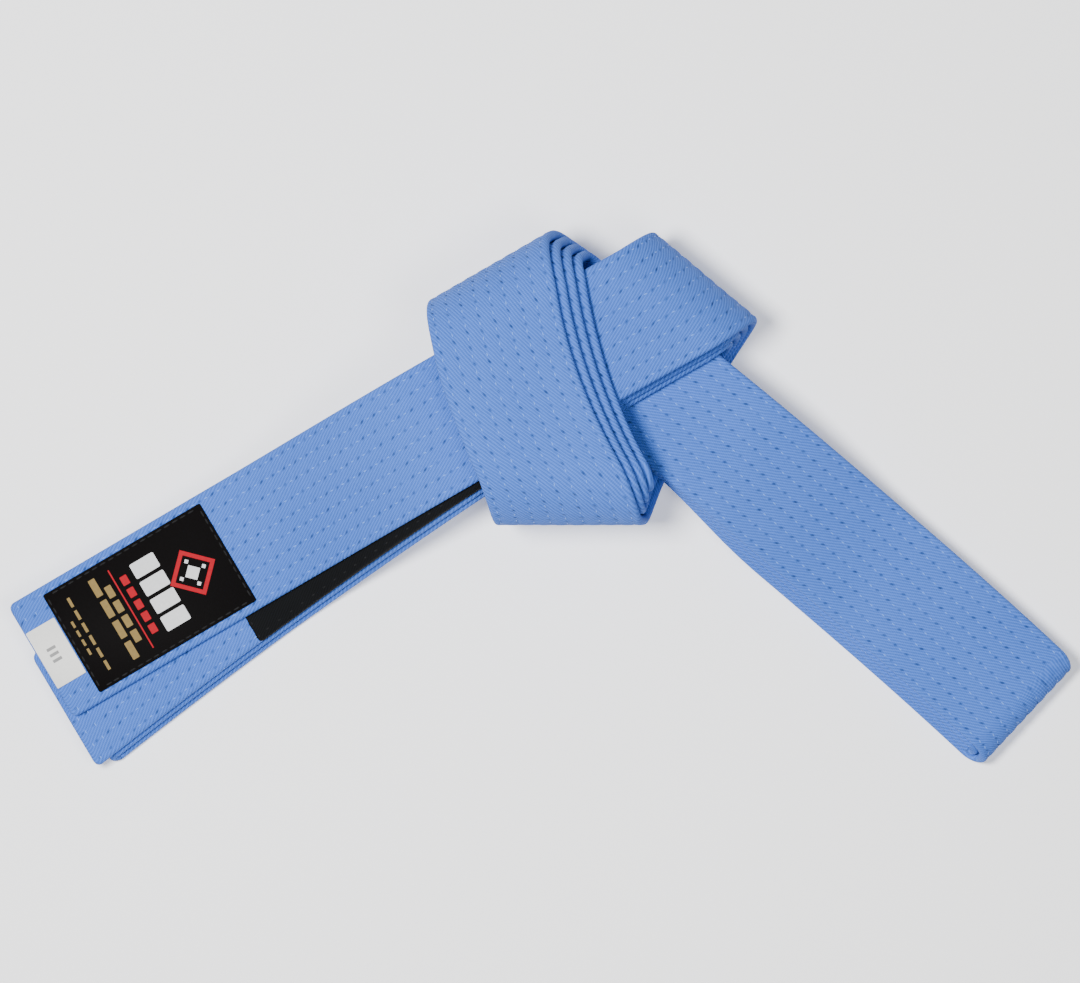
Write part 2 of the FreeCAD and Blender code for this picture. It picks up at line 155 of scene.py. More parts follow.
def hermite(a, slope_a, b, slope_b, u):
    return (
        a * (2 * u**3 - 3 * u**2 + 1)
        + slope_a * (u**3 - 2 * u**2 + u)
        + b * (3 * u**2 - 2 * u**3)
        + slope_b * (u**3 - u**2)
    )


def ease(u):
    u = min(max(u, 0.0), 1.0)
    return (1 - math.cos(math.pi * u)) / 2


def curve_point(start, heading_a, end, heading_b, u):
    reach = np.linalg.norm(end - start)
    return hermite(start, plan(heading_a) * reach, end, plan(heading_b) * reach, u)


def fans(step):
    return {number: step * (number - 1) for number in (1, 2, 3, 4)}


def spread(start, end, step):
    count = max(1, math.ceil(abs(end - start) / step))
    return [start + (end - start) * i / count for i in range(count + 1)]


class Station:
    """A straight line across the strap: middle, direction, outer face and half length."""

    def __init__(self, middle, across, face, half, thick=THICK):
        self.middle = middle
        self.across = across
        self.face = face
        self.half = half
        self.thick = thick

    def faced_out(self):
        return Station(self.middle, self.across, -self.face, self.half, self.thick)


class Fold:
    """Where a strand rolls over: two quarter turns with a short upright between them.

    The strand enters and leaves at places along the fold's ruling; the inner passes are trimmed
    in width where the fold crushes them.
    """

    def __init__(self, middle, ruling, z_in, z_out, upright, enters, leaves, fan_in, fan_out, trim=0.0):
        self.ruling = ruling
        self.along = plan(ruling)
        self.side = math.copysign(1, z_in - z_out)
        self.outward = plan(ruling + 90)
        if flat(middle) @ self.outward < 0:
            self.outward = -self.outward
        self.upright = upright
        self.trim = trim
        self.centre_z = (z_in + z_out) / 2
        self.corner = abs(z_in - z_out) / 2 - upright / 2 - STACK / 2
        self.axis = flat(middle) - self.outward * (self.corner + STACK)
        self.enters = enters
        self.leaves = leaves
        self.fan_in = fan_in
        self.fan_out = fan_out

    def radius(self, number):
        return self.corner + (4.5 - number) * PITCH

    def entry_point(self, number):
        return self.axis + self.along * (self.enters + self.fan_in[number])

    def exit_point(self, number):
        return self.axis + self.along * (self.leaves + self.fan_out[number])

    def place(self, number, walked):
        radius = self.radius(number)
        half = self.upright / 2
        quarter = math.pi / 2 * radius
        if walked <= quarter:
            turn = walked / radius
            out, up = radius * math.sin(turn), half + radius * math.cos(turn)
        elif walked < quarter + self.upright:
            turn = math.pi / 2
            out, up = radius, half - (walked - quarter)
        else:
            turn = (walked - self.upright) / radius
            out, up = radius * math.sin(turn), radius * math.cos(turn) - half
        face = self.outward * math.sin(turn) + UP * (self.side * math.cos(turn))
        return out, self.centre_z + self.side * up, face

    def stations(self, number, slope_in, slope_out, half_in, half_out, step):
        total = math.pi * self.radius(number) + self.upright
        crushed = self.trim * (number - 1) / 2
        start = self.enters + self.fan_in[number]
        end = self.leaves + self.fan_out[number]
        found = []
        for walked in spread(0, total, step):
            u = walked / total
            out, height, face = self.place(number, walked)
            along = hermite(start, slope_in * total, end, slope_out * total, u)
            middle = self.axis + self.along * (along + crushed) + self.outward * out
            middle[2] = height
            found.append(Station(middle, self.along, face, half_in + (half_out - half_in) * u - crushed))
        return found


RIGHT_FOLD = Fold(
    middle=(19.8, 38.2), ruling=-40.0, z_in=ARM_Z, z_out=BACK_Z, upright=5.0,
    enters=-6.6, leaves=4.5, fan_in=ARM_FAN_STEPS, fan_out=fans(-1.1),
)
LOWER_FOLD = Fold(
    middle=(-22.6, -48.5), ruling=0.0, z_in=BACK_Z, z_out=WRAP_Z, upright=20.0,
    enters=6.0, leaves=-12.8, fan_in=fans(-3.0), fan_out=fans(3.2), trim=1.6,
)
UPPER_FOLD = Fold(
    middle=(-52.3, 42.2), ruling=30.0, z_in=WRAP_Z, z_out=TAIL_Z, upright=7.0,
    enters=-11.4, leaves=7.8, fan_in=fans(3.7), fan_out=fans(TAIL_FAN[0]),
)


class Arm:
    """A strand that leaves the knot; its outer face is up (1) or down (-1)."""

    def __init__(self, inner, inner_heading, inner_ruling, outer, outer_heading, up, level, ramp, turn):
        self.inner = inner
        self.outer = outer
        self.headings = (inner_heading, outer_heading)
        self.inner_ruling = inner_ruling
        self.up = up
        self.level = level
        self.ramp = ramp
        self.turn = turn
        self.length = np.linalg.norm(outer - inner)

    def heading(self, distance):
        return self.headings[0] + (self.headings[1] - self.headings[0]) * distance / self.length

    def spot(self, distance):
        u = distance / self.length
        point = curve_point(self.inner, self.headings[0], self.outer, self.headings[1], u)
        share = (distance - self.ramp[0]) / (self.ramp[1] - self.ramp[0])
        point[2] = self.level + (BACK_Z - self.level) * ease(share)
        return point

    def across(self, distance):
        square = self.heading(distance) + self.turn
        return plan(self.inner_ruling + (square - self.inner_ruling) * ease(distance / SQUARING))

    def station(self, number, distance, fan):
        across = self.across(distance)
        ahead = self.spot(distance + 0.05) - self.spot(distance - 0.05)
        face = unit(np.cross(ahead, across))
        if face[2] * self.up < 0:
            face = -face
        square = abs(math.sin(math.radians(self.heading(distance)) - math.atan2(across[1], across[0])))
        middle = self.spot(distance) + face * ((2.5 - number) * PITCH) + across * (fan / square)
        return Station(middle, across, face, WIDTH / 2 / square)


LEFT_ARM = Arm(
    inner=RIGHT_FOLD.entry_point(1), inner_heading=ARM_HEADING + 180, inner_ruling=RIGHT_FOLD.ruling,
    outer=flat(LEFT_END), outer_heading=LEFT_HEADING + 180, up=1, level=ARM_Z, ramp=LEFT_RAMP, turn=-270,
)
RIGHT_ARM = Arm(
    inner=UPPER_FOLD.exit_point(4), inner_heading=TAIL_HEADING, inner_ruling=UPPER_FOLD.ruling,
    outer=flat(RIGHT_END), outer_heading=RIGHT_HEADING, up=-1, level=TAIL_Z, ramp=RIGHT_RAMP, turn=90,
)
LEFT_LENGTH = LEFT_ARM.length
RIGHT_LENGTH = RIGHT_ARM.length
RANK_LENGTH = LEFT_LENGTH + 2.0    # the rank end is the longer one
BACK_LINE = LOWER_FOLD.entry_point(1) - RIGHT_FOLD.exit_point(1)
BACK_HEADING = math.degrees(math.atan2(BACK_LINE[1], BACK_LINE[0]))


def left_run(number, start, end, step):
    """Stations on the left arm; the rank pass is squeezed inside its sleeve."""
    found = []
    for distance in spread(start, end, step):
        fan = ARM_FAN_STEPS[number]
        if number > 1:
            fan += ARM_FAN_AT_END * (max(distance, 0) / LEFT_ARM.length) ** ARM_FAN_POWER
        station = LEFT_ARM.station(number, distance, fan)
        if number == 2:
            inside = min(ease((distance - SLEEVE[0]) / 3), ease((SLEEVE[1] - distance) / 3))
            station.thick = THICK - 2 * SLEEVE_WALL * inside
        found.append(station)
    return found


def free_run(number, length, join):
    """Stations from a free end to a join, close together where the corners are rounded."""
    tip = left_run(number, length, length - CORNER, 0.3)
    return tip + left_run(number, length - CORNER, join, FINE)[1:]


def right_run(number, start, end, step):
    found = []
    for distance in spread(start, end, step):
        grown = ease((distance - TAIL_FAN_GROWS[0]) / (TAIL_FAN_GROWS[1] - TAIL_FAN_GROWS[0]))
        step_aside = TAIL_FAN[0] + (TAIL_FAN[1] - TAIL_FAN[0]) * grown
        found.append(RIGHT_ARM.station(number, distance, step_aside * (number - 4)))
    return found


def back_run(number, step):
    """The strand across the underside, between the right and the lower fold."""
    start = RIGHT_FOLD.exit_point(number)
    end = LOWER_FOLD.entry_point(number)
    crushed = LOWER_FOLD.trim * (number - 1) / 2
    found = []
    for walked in spread(0, 1, step / np.linalg.norm(end - start)):
        across = plan(RIGHT_FOLD.ruling + (LOWER_FOLD.ruling - RIGHT_FOLD.ruling) * walked)
        middle = start + (end - start) * walked + across * (crushed * walked)
        middle[2] = BACK_Z - (2.5 - number) * PITCH
        square = abs(np.cross(unit(end - start), across)[2])
        found.append(Station(middle, across, -UP, WIDTH / 2 / square - crushed * walked))
    return found


def wrap_run(number, step):
    """The front wrap, between the lower and the upper fold."""
    start = LOWER_FOLD.exit_point(number)
    end = UPPER_FOLD.entry_point(number)
    found = []
    for u in spread(0, 1, step / np.linalg.norm(end - start)):
        middle = curve_point(start, WRAP_START_HEADING, end, WRAP_END_HEADING, u)
        middle[2] = WRAP_Z + (2.5 - number) * PITCH
        ruling = LOWER_FOLD.ruling + (UPPER_FOLD.ruling - LOWER_FOLD.ruling) * u
        heading = WRAP_START_HEADING + (WRAP_END_HEADING - WRAP_START_HEADING) * u
        crushed = LOWER_FOLD.trim * (number - 1) / 2 * (1 - u)
        across = plan(ruling)
        found.append(Station(middle + across * crushed, across, UP, half_line(heading, ruling) - crushed))
    return found


def knot_run(number, step):
    """One pass through the knot, between two places hidden under the front wrap."""
    found = left_run(number, SPLIT_LEFT, 0, step)[:-1]
    found += RIGHT_FOLD.stations(
        number,
        cotangent(ARM_HEADING, RIGHT_FOLD.ruling), cotangent(RIGHT_FOLD.ruling, BACK_HEADING),
        half_line(ARM_HEADING, RIGHT_FOLD.ruling), half_line(BACK_HEADING, RIGHT_FOLD.ruling), step,
    )
    found += back_run(number, step)[1:-1]
    found += LOWER_FOLD.stations(
        number,
        cotangent(LOWER_FOLD.ruling, BACK_HEADING), cotangent(WRAP_START_HEADING, LOWER_FOLD.ruling),
        half_line(BACK_HEADING, LOWER_FOLD.ruling), half_line(WRAP_START_HEADING, LOWER_FOLD.ruling), step,
    )
    found += wrap_run(number, step)[1:-1]
    found += UPPER_FOLD.stations(
        number,
        cotangent(WRAP_END_HEADING, UPPER_FOLD.ruling), cotangent(UPPER_FOLD.ruling, TAIL_HEADING),
        half_line(WRAP_END_HEADING, UPPER_FOLD.ruling), half_line(TAIL_HEADING, UPPER_FOLD.ruling), step,
    )
    return found + right_run(number, 0, SPLIT_RIGHT, step)[1:]


def loop(outward, homeward, step):
    """A pass out to the end of the arm, round, and back along another pass."""
    start = outward[-1]
    end = homeward[0]
    ahead = start.middle - outward[-2].middle
    forward = unit(ahead - start.across * (ahead @ start.across) - start.face * (ahead @ start.face))
    radius = (start.middle - end.middle) @ start.face / 2
    slide = (end.middle - start.middle) + start.face * (2 * radius)
    centre = start.middle - start.face * radius
    count = max(8, math.ceil(math.pi * radius / step))
    rounding = []
    for i in range(1, count):
        turn = math.pi * i / count
        face = start.face * math.cos(turn) + forward * math.sin(turn)
        middle = centre + face * radius + slide * ease(i / count)
        half = start.half + (end.half - start.half) * i / count
        rounding.append(Station(middle, start.across, face, half))
    return outward + rounding + homeward


def faced_out(stations):
    return [station.faced_out() for station in stations]


# ---------------------------------------- quilted straps
class Path:
    """Arrays along a strap: places, directions, and the cloth's own length coordinate."""

    def __init__(self, stations, start_length=0.0):
        self.middle = np.array([s.middle for s in stations])
        self.across = np.array([s.across for s in stations])
        self.face = np.array([s.face for s in stations])
        self.half = np.array([s.half for s in stations])
        self.thick = np.array([s.thick for s in stations])
        steps = np.linalg.norm(np.diff(self.middle, axis=0), axis=1)
        self.length = np.concatenate([[0], np.cumsum(steps)]) + start_length
        self.tangent = np.gradient(self.middle, axis=0)
        self.tangent /= np.linalg.norm(self.tangent, axis=1)[:, None]
        self.lean = np.sum(self.tangent * self.across, axis=1)
        left = np.cross(self.face, self.tangent)
        self.hand = np.sign(np.sum(left * self.across, axis=1))

    def total(self):
        return self.length[-1] - self.length[0]

    def surface(self, cross, side, depth):
        """Points and cloth coordinates at lateral shares cross (-1 to 1) of one face."""
        reach = self.half[:, None] * cross[None, :]
        points = self.middle[:, None, :] + self.across[:, None, :] * reach[:, :, None]
        points = points + self.face[:, None, :] * (side * depth)[:, :, None]
        along = self.length[:, None] + reach * self.lean[:, None]
        sideways = cross[None, :] * WIDTH / 2 * self.hand[:, None] * side
        return points, along, sideways


def ending_at(stations, end_length):
    """A path whose cloth length carries on into the piece that follows it."""
    path = Path(stations)
    path.length += end_length - path.length[-1]
    return path


def cross_shares():
    """Lateral sample places from -1 to 1, closer together at the rolled edges and at the rows."""
    edge = [WIDTH / 2 - inward for inward in (0.0, 0.08, 0.35, 0.8, 1.4, 1.95)]
    between = (0.0, 0.75, 1.6, 2.5, 3.4, 4.25)
    middle = [row * ROW_SPACING + b for row in list(ROWS)[:-1] for b in between] + [20.0]
    return np.array([-e for e in edge] + middle + edge[::-1]) / (WIDTH / 2)


def quilt_depth(path, cross, quilted):
    """Half thickness: rolled edges, a valley at each row and uneven wadding."""
    lateral = np.abs(cross) * WIDTH / 2
    inside = np.clip((lateral - (WIDTH / 2 - EDGE_ROLL)) / EDGE_ROLL, 0, 1)
    edge = np.sqrt(np.clip(1 - inside**2.2, 0, 1))
    nearest = np.abs(lateral - np.round(lateral / ROW_SPACING) * ROW_SPACING)
    valley = quilted * np.exp(-((nearest / VALLEY_REACH) ** 2)) * (lateral < 21)
    along = path.length[:, None]
    lumps = np.sin(along * 0.21 + cross[None, :] * 5) * np.sin(along * 0.083 + 2)
    depth = path.thick[:, None] / 2 - valley[None, :] + WADDING_SWELL * (lumps * 0.5 - 0.3)
    return np.maximum(depth * edge[None, :], 0.02)


def rounded_tip(path, depth):
    """Half thickness with the first end rolled over, like the edges."""
    inside = np.clip((TIP_ROLL - (path.length - path.length[0])) / TIP_ROLL, 0, 1)
    return depth * np.sqrt(np.clip(1 - 0.94 * inside**2.2, 0, 1))[:, None]


def round_corners(path):
    """Draws the edges in at the first end, as a quarter circle at each corner."""
    inside = np.clip((CORNER - (path.length - path.length[0])) / CORNER, 0, 1)
    path.half = path.half - CORNER * (1 - np.sqrt(1 - inside**2))


def make_mesh(name, vertices, faces, material, uvs=None, smooth=True):
    """A mesh piece from millimetre vertices; uvs are the cloth's own millimetres."""
    mesh = bpy.data.meshes.new(name)
    mesh.from_pydata((np.asarray(vertices) * MM).tolist(), [], faces)
    mesh.polygons.foreach_set("use_smooth", [smooth] * len(mesh.polygons))
    if uvs is not None:
        layer = mesh.uv_layers.new(name="cloth")
        corners = np.empty(len(mesh.loops), int)
        mesh.loops.foreach_get("vertex_index", corners)
        layer.data.foreach_set("uv", (np.asarray(uvs)[corners] * MM).ravel())
    mesh.materials.append(material)
    mesh.validate()
    mesh.set_sharp_from_angle(angle=math.radians(50))
    piece = bpy.data.objects.new(name, mesh)
    bpy.context.scene.collection.objects.link(piece)
    return piece


def ribbon(name, path, material, free_tip=False, grow=0.0, quilted=QUILTED):
    """Closed ribbon: outer face, inner face and the two ends; a free tip is rounded."""
    cross = cross_shares()
    depth = quilt_depth(path, cross, quilted) + grow
    if free_tip:
        depth = rounded_tip(path, depth)
        round_corners(path)
    wide = cross * (1 + 2 * grow / WIDTH)
    upper, along_up, side_up = path.surface(wide, 1, depth)
    lower, along_low, side_low = path.surface(wide[::-1], -1, depth[:, ::-1])
    count = len(path.length)
    half = len(cross)
    ring = 2 * half
    vertices = np.concatenate([upper, lower], axis=1).reshape(-1, 3)
    along = np.concatenate([along_up, along_low], axis=1)
    aside = np.concatenate([side_up, side_low], axis=1)
    uvs = np.stack([along, aside], -1)
    faces = []
    for i in range(count - 1):
        for j in range(ring):
            k = (j + 1) % ring
            faces.append((i * ring + j, (i + 1) * ring + j, (i + 1) * ring + k, i * ring + k))
    for base, flip in ((0, False), ((count - 1) * ring, True)):
        for j in range(half - 1):
            quad = (base + j, base + j + 1, base + ring - 2 - j, base + ring - 1 - j)
            faces.append(quad[::-1] if flip else quad)
    piece = make_mesh(name, vertices, faces, material, uvs.reshape(-1, 2))
    outward = np.cross(path.tangent[0], path.across[0]) @ path.face[0]
    if outward > 0:
        piece.data.flip_normals()
    return piece


# ---------------------------------------- thread
def row_phase(row):
    """Where a row's stitches start, as a share of a stitch."""
    return (row * ROW_LAG + ROW_SWAY * math.sin(row * ROW_SWAY_RATE)) % 1.0


def dash_shape(length, width, height):
    """A short run of thread, thin at both ends where it dives into the cloth."""
    sides = 6
    rings = 5
    points = []
    faces = []
    for i in range(rings):
        x = (i / (rings - 1) - 0.5) * length
        round_off = math.sqrt(max(0.06, 1 - (2 * x / length) ** 4))
        for j in range(sides):
            turn = 2 * math.pi * j / sides
            y = math.cos(turn) * width / 2 * round_off
            z = math.sin(turn) * height / 2 * round_off
            points.append((x, y, z))
    for i in range(rings - 1):
        for j in range(sides):
            k = (j + 1) % sides
            faces.append((i * sides + j, (i + 1) * sides + j, (i + 1) * sides + k, i * sides + k))
    faces.append(tuple(range(sides)))
    faces.append(tuple(range(rings * sides - 1, (rings - 1) * sides - 1, -1)))
    return np.array(points), faces


def dashes(name, places, material, length=1.25, width=0.38, height=0.28):
    """One mesh of dashes; a place is (point, direction, face normal)."""
    shape, faces = dash_shape(length, width, height)
    vertices = []
    all_faces = []
    for number, (point, ahead, face) in enumerate(places):
        side = np.cross(face, ahead)
        basis = np.stack([ahead, side, face])
        vertices.append(point + shape @ basis)
        base = number * len(shape)
        all_faces += [tuple(base + corner for corner in corners) for corners in faces]
    return make_mesh(name, np.concatenate(vertices), all_faces, material)


def row_places(path, side, low=-math.inf, high=math.inf, rows=ROWS, inset=STITCH_INSET):
    """Dashes along the quilting rows between two length marks of one face (side 1 is outer)."""
    generator = np.random.default_rng(7)
    found = []
    for row in rows:
        share = row * ROW_SPACING / (WIDTH / 2)
        lateral = share * side * path.hand
        reach = path.half * lateral
        along = path.length + reach * path.lean
        middle = path.middle + path.across * reach[:, None]
        face = path.face * side
        middle = middle + face * (path.thick / 2 - inset)[:, None]
        first = math.floor(along[0] / STITCH_PITCH) - 1
        last = math.ceil(along[-1] / STITCH_PITCH) + 1
        for index in range(first, last):
            place = (index + row_phase(row) + 0.5) * STITCH_PITCH + generator.normal(0, 0.12)
            if not (max(low, along[0] + 1.5) < place < min(high, along[-1] - 1.5)):
                continue
            point = np.array([np.interp(place, along, middle[:, i]) for i in range(3)])
            ahead = np.array([np.interp(place, path.length, path.tangent[:, i]) for i in range(3)])
            normal = unit(np.array([np.interp(place, along, face[:, i]) for i in range(3)]))
            ahead = unit(ahead - normal * (ahead @ normal))
            sway = generator.normal(0, 0.05)
            ahead = unit(ahead + np.cross(normal, ahead) * sway)
            found.append((point, ahead, normal))
    return found


def cross_places(path, side, from_end, reach=20.5):
    """Dashes across the strap, parallel to its far end."""
    place = path.length[-1] - from_end
    middle = np.array([np.interp(place, path.length, path.middle[:, i]) for i in range(3)])
    index = int(np.argmin(np.abs(path.length - place)))
    face = path.face[index] * side
    across = path.across[index]
    depth = path.thick[index] / 2 - STITCH_INSET
    count = int(2 * reach / STITCH_PITCH) + 1
    found = []
    for i in range(count):
        lateral = (i - (count - 1) / 2) * STITCH_PITCH
        found.append((middle + across * lateral + face * depth, across, face))
    return found


def end_places(run):
    """Two rows of dashes across both faces of a free end; the run's stations lead out to it."""
    path = Path(run)
    places = []
    for side in (1, -1):
        places += cross_places(path, side, 3.0)
        places += cross_places(path, side, 7.2, reach=15.5)
    return places


# ---------------------------------------- materials
BLUE = (0.050, 0.145, 0.560)
BLUE_DARK = (0.015, 0.070, 0.320)
BLUE_LIGHT = (0.082, 0.205, 0.720)
# painted shade: the dark colour put into the needle holes' dimples
BLUE_HOLE_SHADE = (0.004, 0.026, 0.140)
BLACK = (0.0016, 0.0018, 0.0022)
BLACK_LIGHT = (0.006, 0.0065, 0.0075)
DIMPLE_STRETCH = 0.65              # a needle hole is stretched along the twill
DIMPLE_SQUEEZE = 1.65              # and narrowed across it
DIMPLE_FADE = 4.2


class Shade:
    """A small helper that adds and joins the nodes of one material."""

    def __init__(self, name, colour, roughness, sheen=0.0, sheen_tint=(1, 1, 1)):
        self.material = bpy.data.materials.new(name)
        self.material.use_nodes = True
        self.tree = self.material.node_tree
        self.shader = self.tree.nodes["Principled BSDF"]
        self.shader.inputs["Base Color"].default_value = (*colour, 1)
        self.shader.inputs["Roughness"].default_value = roughness
        self.shader.inputs["Sheen Weight"].default_value = sheen
        self.shader.inputs["Sheen Roughness"].default_value = 0.5
        self.shader.inputs["Sheen Tint"].default_value = (*sheen_tint, 1)
        self.shader.inputs["Specular IOR Level"].default_value = 0.08

    def put(self, socket, value):
        """Joins a socket to another one, or sets its number or colour."""
        if isinstance(value, bpy.types.NodeSocket):
            self.tree.links.new(value, socket)
        elif isinstance(value, tuple):
            socket.default_value = (*value, 1)
        else:
            socket.default_value = value

    def maths(self, operation, a, b=None, c=None, clamp=False):
        node = self.tree.nodes.new("ShaderNodeMath")
        node.operation = operation
        node.use_clamp = clamp
        for socket, value in zip(node.inputs, (a, b, c)):
            if value is not None:
                self.put(socket, value)
        return node.outputs[0]

    def noise(self, scale, detail):
        node = self.tree.nodes.new("ShaderNodeTexNoise")
        node.inputs["Scale"].default_value = scale
        node.inputs["Detail"].default_value = detail
        node.inputs["Roughness"].default_value = 0.5
        self.tree.links.new(self.object_place(), node.inputs["Vector"])
        return node.outputs["Fac"]

    def object_place(self):
        return self.tree.nodes.new("ShaderNodeTexCoord").outputs["Object"]

    def cloth_place(self):
        """The cloth's own coordinates in metres: along the strap and to its left."""
        node = self.tree.nodes.new("ShaderNodeUVMap")
        node.uv_map = "cloth"
        split = self.tree.nodes.new("ShaderNodeSeparateXYZ")
        self.tree.links.new(node.outputs["UV"], split.inputs[0])
        return split.outputs["X"], split.outputs["Y"]

    def blend(self, share, a, b):
        node = self.tree.nodes.new("ShaderNodeMix")
        node.data_type = "RGBA"
        self.put(node.inputs["Factor"], share)
        self.put(node.inputs["A"], a)
        self.put(node.inputs["B"], b)
        return node.outputs["Result"]

    def colour(self, socket):
        self.tree.links.new(socket, self.shader.inputs["Base Color"])

    def bump(self, height, distance):
        node = self.tree.nodes.new("ShaderNodeBump")
        node.inputs["Strength"].default_value = 1.0
        node.inputs["Distance"].default_value = distance
        self.tree.links.new(height, node.inputs["Height"])
        self.tree.links.new(node.outputs["Normal"], self.shader.inputs["Normal"])

    def wave(self, place, pitch):
        """Zero to one, once in each pitch."""
        turn = self.maths("MULTIPLY", place, 2 * math.pi / pitch)
        return self.maths("MULTIPLY_ADD", self.maths("SINE", turn), 0.5, 0.5)

    def twill(self, along, aside, pitch):
        """Height of a twill weave: slanted wales cut into short floats of yarn."""
        wobble = self.maths("MULTIPLY_ADD", self.noise(260, 2), pitch * 0.5, -pitch * 0.25)
        normal = self.maths(
            "MULTIPLY_ADD", along, -math.sin(TWILL_LEAN),
            self.maths("MULTIPLY_ADD", aside, math.cos(TWILL_LEAN), wobble),
        )
        wale = self.wave(normal, pitch)
        floats = self.wave(self.maths("MULTIPLY_ADD", aside, 0.25, along), pitch * 0.62)
        return self.maths("MULTIPLY_ADD", floats, 0.28, self.maths("MULTIPLY", wale, 0.72))


def nearest_whole(shade, value):
    return shade.maths("FLOOR", shade.maths("ADD", value, 0.5))


def turned(shade, x, y, cosine, sine):
    return shade.maths("MULTIPLY_ADD", x, cosine, shade.maths("MULTIPLY", y, sine))


def stitch_dimples(shade, along, aside):
    """One at each needle hole of the quilting rows: a slim slash along the twill, fading out."""
    row = nearest_whole(shade, shade.maths("DIVIDE", aside, ROW_SPACING * MM))
    sway = shade.maths("SINE", shade.maths("MULTIPLY", row, ROW_SWAY_RATE))
    sway = shade.maths("MULTIPLY", sway, ROW_SWAY)
    phase = shade.maths("MULTIPLY_ADD", row, ROW_LAG, sway)
    index = shade.maths("SUBTRACT", shade.maths("DIVIDE", along, STITCH_PITCH * MM), phase)
    past = shade.maths("SUBTRACT", index, nearest_whole(shade, index))
    past = shade.maths("MULTIPLY", past, STITCH_PITCH)
    across = shade.maths("SUBTRACT", aside, shade.maths("MULTIPLY", row, ROW_SPACING * MM))
    across = shade.maths("MULTIPLY", across, 1 / MM)
    cosine = math.cos(TWILL_LEAN)
    sine = math.sin(TWILL_LEAN)
    lengthwise = turned(shade, past, across, DIMPLE_STRETCH * cosine, DIMPLE_STRETCH * sine)
    crosswise = turned(shade, past, across, -DIMPLE_SQUEEZE * sine, DIMPLE_SQUEEZE * cosine)
    lengthwise = shade.maths("MULTIPLY", lengthwise, lengthwise)
    squared = shade.maths("MULTIPLY_ADD", crosswise, crosswise, lengthwise)
    within = shade.maths("LESS_THAN", shade.maths("ABSOLUTE", row), 4.5)
    fading = shade.maths("EXPONENT", shade.maths("MULTIPLY", squared, -DIMPLE_FADE))
    return shade.maths("MULTIPLY", fading, within)


def quilted_twill():
    """The belt's blue cloth; only some needle holes get painted shade, as if pulled in enough to look
    dark.
    """
    shade = Shade("quilted_blue_twill", BLUE, 0.8, 0.06, (0.6, 0.78, 1.0))
    along, aside = shade.cloth_place()
    weave = shade.twill(along, aside, 0.95 * MM)
    dimple = stitch_dimples(shade, along, aside)
    patch = shade.noise(28, 3)
    fibre = shade.noise(1400, 2)
    tone = shade.maths("MULTIPLY_ADD", weave, 0.62, shade.maths("MULTIPLY", fibre, 0.30))
    tone = shade.maths("MULTIPLY_ADD", patch, 0.24, tone, clamp=True)
    cloth = shade.blend(tone, BLUE_DARK, BLUE_LIGHT)
    # painted shade: a random share of the needle holes is darkened, where shade would fall in the dimples
    hole_shade = shade.maths("MULTIPLY_ADD", shade.noise(170, 1), 1.5, -0.32, clamp=True)
    shade.colour(shade.blend(shade.maths("MULTIPLY", dimple, hole_shade), cloth, BLUE_HOLE_SHADE))
    height = shade.maths("MULTIPLY_ADD", fibre, 0.25, weave)
    height = shade.maths("MULTIPLY_ADD", dimple, -2.6, height)
    shade.bump(height, 0.00022)
    return shade.material


def plain_thread(name, colour, light):
    shade = Shade(name, colour, 0.6, 0.2)
    strands = shade.noise(2600, 1)
    shade.colour(shade.blend(strands, colour, light))
    shade.bump(strands, 0.00008)
    return shade.material


def sleeve_twill():
    shade = Shade("black_sleeve_twill", BLACK, 0.8, 0.02)
    along, aside = shade.cloth_place()
    weave = shade.twill(along, aside, 0.8 * MM)
    patch = shade.noise(60, 3)
    tone = shade.maths("MULTIPLY_ADD", patch, 0.4, shade.maths("MULTIPLY", weave, 0.6), clamp=True)
    shade.colour(shade.blend(tone, BLACK, BLACK_LIGHT))
    shade.bump(weave, 0.00015)
    return shade.material


def woven_satin(name, dark, light, roughness=0.55):
    """Fine satin weave of a label: threads much closer together than the twill's."""
    shade = Shade(name, dark, roughness)
    split = shade.tree.nodes.new("ShaderNodeSeparateXYZ")
    shade.tree.links.new(shade.object_place(), split.inputs[0])
    slope = math.radians(LEFT_HEADING)
    x, y = split.outputs["X"], split.outputs["Y"]
    along = turned(shade, x, y, math.cos(slope), math.sin(slope))
    aside = turned(shade, y, x, math.cos(slope), -math.sin(slope))
    weft = shade.wave(along, 0.32 * MM)
    warp = shade.wave(aside, 0.24 * MM)
    weave = shade.maths("MULTIPLY", weft, warp)
    weave_share = shade.maths("MULTIPLY", weave, 0.5)
    tone = shade.maths("MULTIPLY_ADD", shade.noise(900, 2), 0.5, weave_share, clamp=True)
    shade.colour(shade.blend(tone, dark, light))
    shade.bump(weave, 0.00005)
    return shade.material


TWILL = quilted_twill()
BLUE_THREAD = plain_thread("blue_thread", (0.085, 0.225, 0.68), (0.17, 0.35, 0.85))
BLACK_THREAD = plain_thread("black_thread", (0.002, 0.002, 0.0025), (0.008, 0.008, 0.009))
SLEEVE_CLOTH = sleeve_twill()
LABEL_CLOTH = woven_satin("label_black", (0.0012, 0.0008, 0.0008), (0.003, 0.0022, 0.0022), 0.7)
LABEL_GREY = woven_satin("label_grey", (0.55, 0.55, 0.56), (0.80, 0.80, 0.81))
LABEL_RED = woven_satin("label_red", (0.30, 0.003, 0.010), (0.48, 0.008, 0.022))
LABEL_GOLD = woven_satin("label_gold", (0.17, 0.115, 0.035), (0.30, 0.21, 0.08))
TAG_CLOTH = woven_satin("tag_white", (0.72, 0.72, 0.69), (0.86, 0.86, 0.83), 0.6)
TAG_PRINT = woven_satin("tag_grey", (0.20, 0.20, 0.20), (0.34, 0.34, 0.34), 0.6)


# ---------------------------------------- the straps
def dress(path):
    path.total() * MM


def sew(name, places, material=BLUE_THREAD):
    thread = dashes(name, places, material)
    return thread


